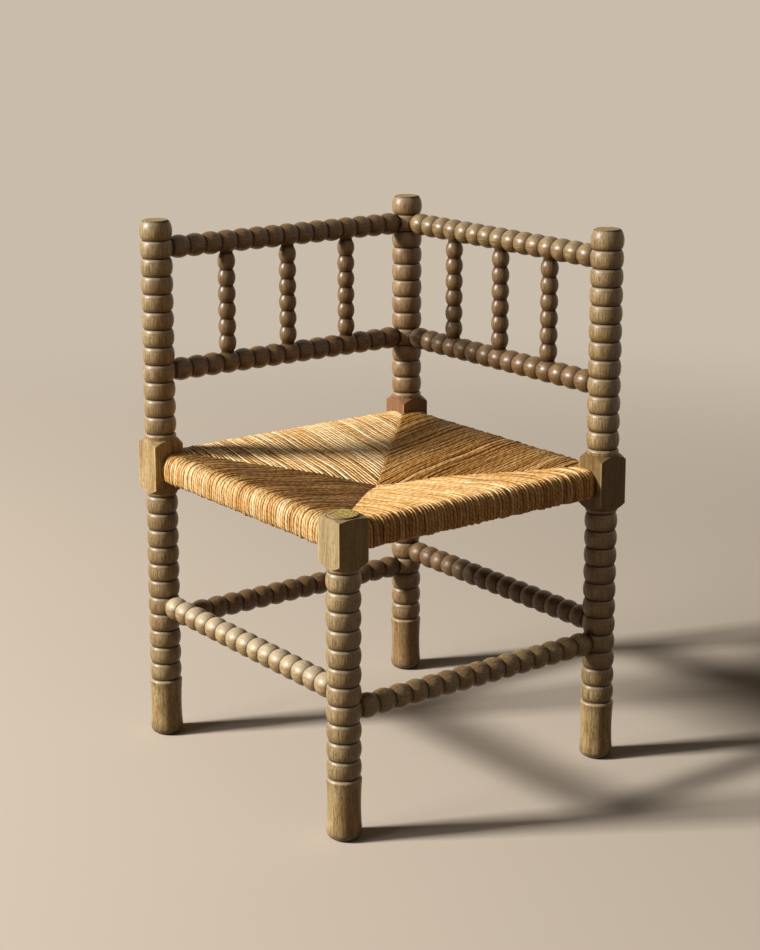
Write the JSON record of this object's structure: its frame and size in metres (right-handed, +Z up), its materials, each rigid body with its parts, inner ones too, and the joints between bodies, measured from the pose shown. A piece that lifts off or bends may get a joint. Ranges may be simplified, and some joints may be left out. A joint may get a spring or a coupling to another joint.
{
  "type": "corner chair",
  "caption": "Corner chair of bobbin-turned oak: square plan set on a corner, spindled back rails that meet at the back post, a short front leg and a woven rush seat",
  "frame": {"origin": "on the floor, under the centre of the chair", "axes": "+Z is up, -Y points at the short front leg, +Y at the back post, -X at the left post and +X at the right post as seen from the front"},
  "size_m": [0.6866, 0.6866, 0.752],
  "materials": {
    "turned_oak": "weathered grey-brown oak, rubbed and waxed, dark in the grooves",
    "plain_wood": "unfinished, hidden in the rush",
    "rush": "twisted rush, golden straw with darker strands"
  },
  "bodies": {
    "root": {"front_leg": "turned_oak", "left_post": "turned_oak", "right_post": "turned_oak", "back_post": "turned_oak", "front_left_seat_rail": "plain_wood", "front_left_stretcher": "turned_oak", "front_right_seat_rail": "plain_wood", "front_right_stretcher": "turned_oak", "back_left_seat_rail": "plain_wood", "back_left_stretcher": "turned_oak", "back_right_seat_rail": "plain_wood", "back_right_stretcher": "turned_oak", "upper_left_back_rail": "turned_oak", "lower_left_back_rail": "turned_oak", "left_spindle_1": "turned_oak", "left_spindle_2": "turned_oak", "left_spindle_3": "turned_oak", "upper_right_back_rail": "turned_oak", "lower_right_back_rail": "turned_oak", "right_spindle_1": "turned_oak", "right_spindle_2": "turned_oak", "right_spindle_3": "turned_oak", "rush_seat": "rush"}
  },
  "joints": []
}
